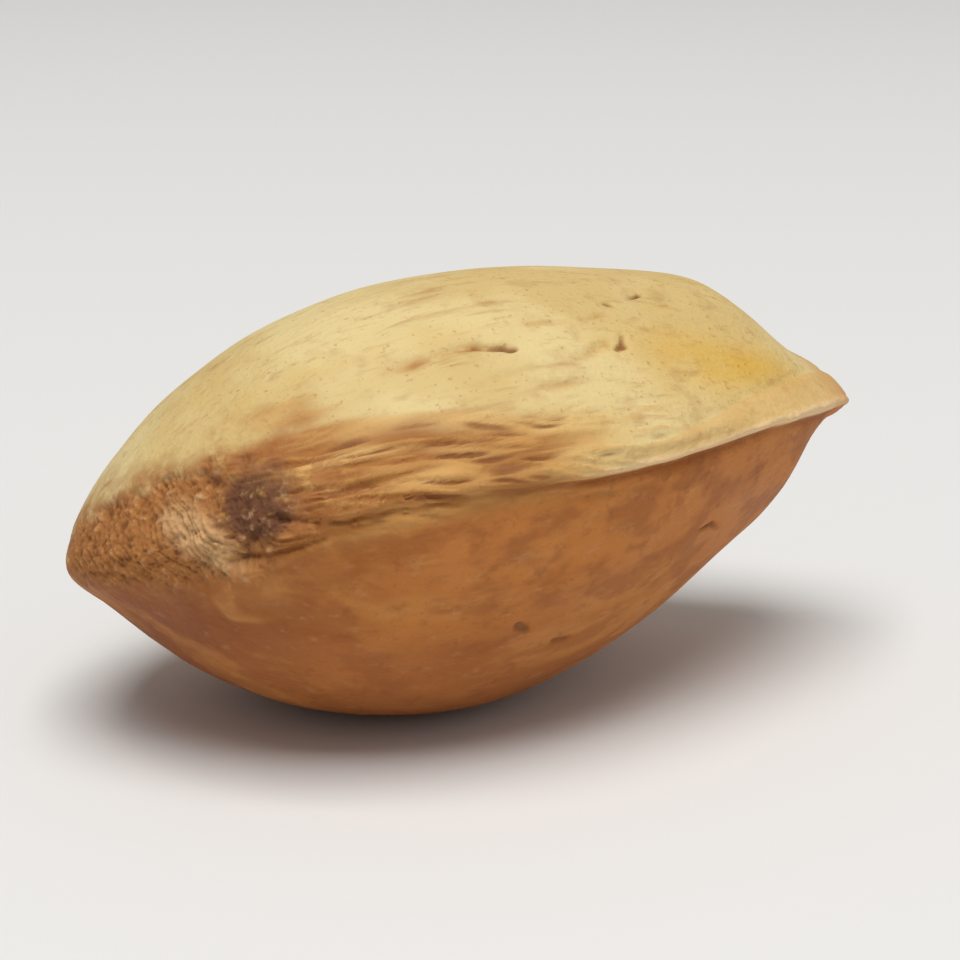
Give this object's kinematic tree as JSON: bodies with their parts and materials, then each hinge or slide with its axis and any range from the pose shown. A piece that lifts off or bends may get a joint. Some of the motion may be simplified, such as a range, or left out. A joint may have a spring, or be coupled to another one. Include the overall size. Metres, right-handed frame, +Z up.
{
  "type": "almond in its shell",
  "caption": "Whole almond in its hard tan shell, with a sharp keel, a rough stalk scar and a short pointed beak. It lies on one cheek.",
  "frame": {"origin": "middle of the nut's bounding box, on the surface that it rests on", "axes": "+X from the stalk end to the pointed tip, the long way; -Y towards the keel; +Z up, through both cheeks, the short way"},
  "size_m": [0.0338, 0.0212, 0.0171],
  "materials": {
    "shell": "dry, matt, woody nut shell, pale ochre with pits and furrows in warm brown"
  },
  "bodies": {
    "root": {"almond": "shell"}
  },
  "joints": []
}
